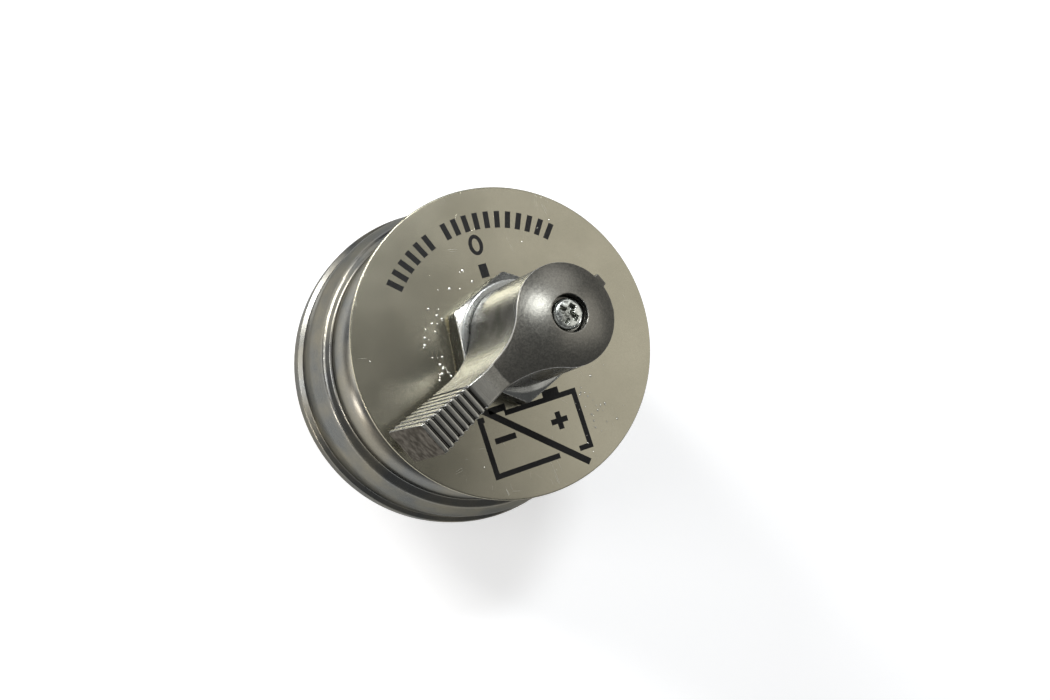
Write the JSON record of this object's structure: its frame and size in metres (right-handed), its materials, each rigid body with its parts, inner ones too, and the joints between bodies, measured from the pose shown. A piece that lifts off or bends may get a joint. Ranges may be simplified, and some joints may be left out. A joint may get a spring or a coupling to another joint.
{
  "type": "battery switch",
  "caption": "Panel-mounted rotary battery master switch: plated drawn housing on a threaded stem, round legend plate, hexagon nut and die-cast lever with a ribbed blade.",
  "frame": {"origin": "on the switch axis, at the housing's front face, where the threaded stem rises from it", "axes": "+Z along the switch axis, from the housing towards the lever; +Y towards the index mark on the legend plate; the terminals lie along X"},
  "size_m": [0.0794, 0.0794, 0.1147],
  "materials": {
    "bright_zinc_steel": "bright zinc-plated drawn steel, smooth, with faint draw marks",
    "plated_thread": "zinc-plated turned thread",
    "nut_steel": "bright zinc-plated, turned face",
    "pin_steel": "satin plated steel",
    "plain_steel": "plain ground steel, lightly oiled",
    "ball_steel": "polished hardened steel",
    "spring_steel": "dark oiled spring steel",
    "screw_steel": "bright zinc-plated, cross recess",
    "cast_zinc": "die-cast zinc alloy, as cast and tumbled, satin grey",
    "satin_aluminium": "satin aluminium sheet with black printed marks and fine scratches",
    "copper": "turned copper, slightly dulled",
    "brass": "turned brass",
    "phenolic": "moulded phenolic, near black",
    "fibre": "vulcanised fibre",
    "rubber": "black nitrile rubber"
  },
  "bodies": {
    "housing": {"housing_cup": "bright_zinc_steel", "mounting_stem": "plated_thread", "stem_rivets": "plain_steel", "detent_plate": "plain_steel", "insulating_liner": "fibre", "face_plate": "satin_aluminium", "plate_pin": "pin_steel", "lock_washer": "spring_steel", "face_nut": "nut_steel", "back_nut": "nut_steel", "base": "phenolic", "base_gasket": "rubber", "terminal_stud_a": "copper", "terminal_stud_b": "copper", "stud_seals": "rubber", "seat_washers": "brass", "seat_nuts": "brass", "terminal_lock_washers": "spring_steel", "terminal_nuts": "brass"},
    "rotor": {"shaft": "plain_steel", "shaft_oring": "rubber", "thrust_washer": "brass", "rotor": "phenolic", "contact_spring": "spring_steel", "detent_spring_a": "spring_steel", "detent_spring_b": "spring_steel", "lever": "cast_zinc", "lever_screw": "screw_steel"},
    "bridge": {"contact_bridge": "copper"},
    "ball_a": {"detent_ball_a": "ball_steel"},
    "ball_b": {"detent_ball_b": "ball_steel"}
  },
  "joints": [
    {"name": "lever_turn", "type": "hinge", "parent": "housing", "child": "rotor", "pos_m": [0, 0, 0], "axis": [0, 0, 1], "range_deg": [-90, 0]},
    {"name": "contact_float", "type": "slide", "parent": "rotor", "child": "bridge", "axis": [0, 0, 1], "range_m": [0, 0.0008], "stiffness_N_per_m": 2000, "springref_m": -0.004, "deforming": ["contact_spring"]},
    {"name": "detent_a", "type": "slide", "parent": "rotor", "child": "ball_a", "axis": [0, 0, 1], "range_m": [0, 0.0012], "stiffness_N_per_m": 800, "springref_m": 0.004, "deforming": ["detent_spring_a"]},
    {"name": "detent_b", "type": "slide", "parent": "rotor", "child": "ball_b", "axis": [0, 0, 1], "range_m": [0, 0.0012], "stiffness_N_per_m": 800, "springref_m": 0.004, "deforming": ["detent_spring_b"]}
  ]
}
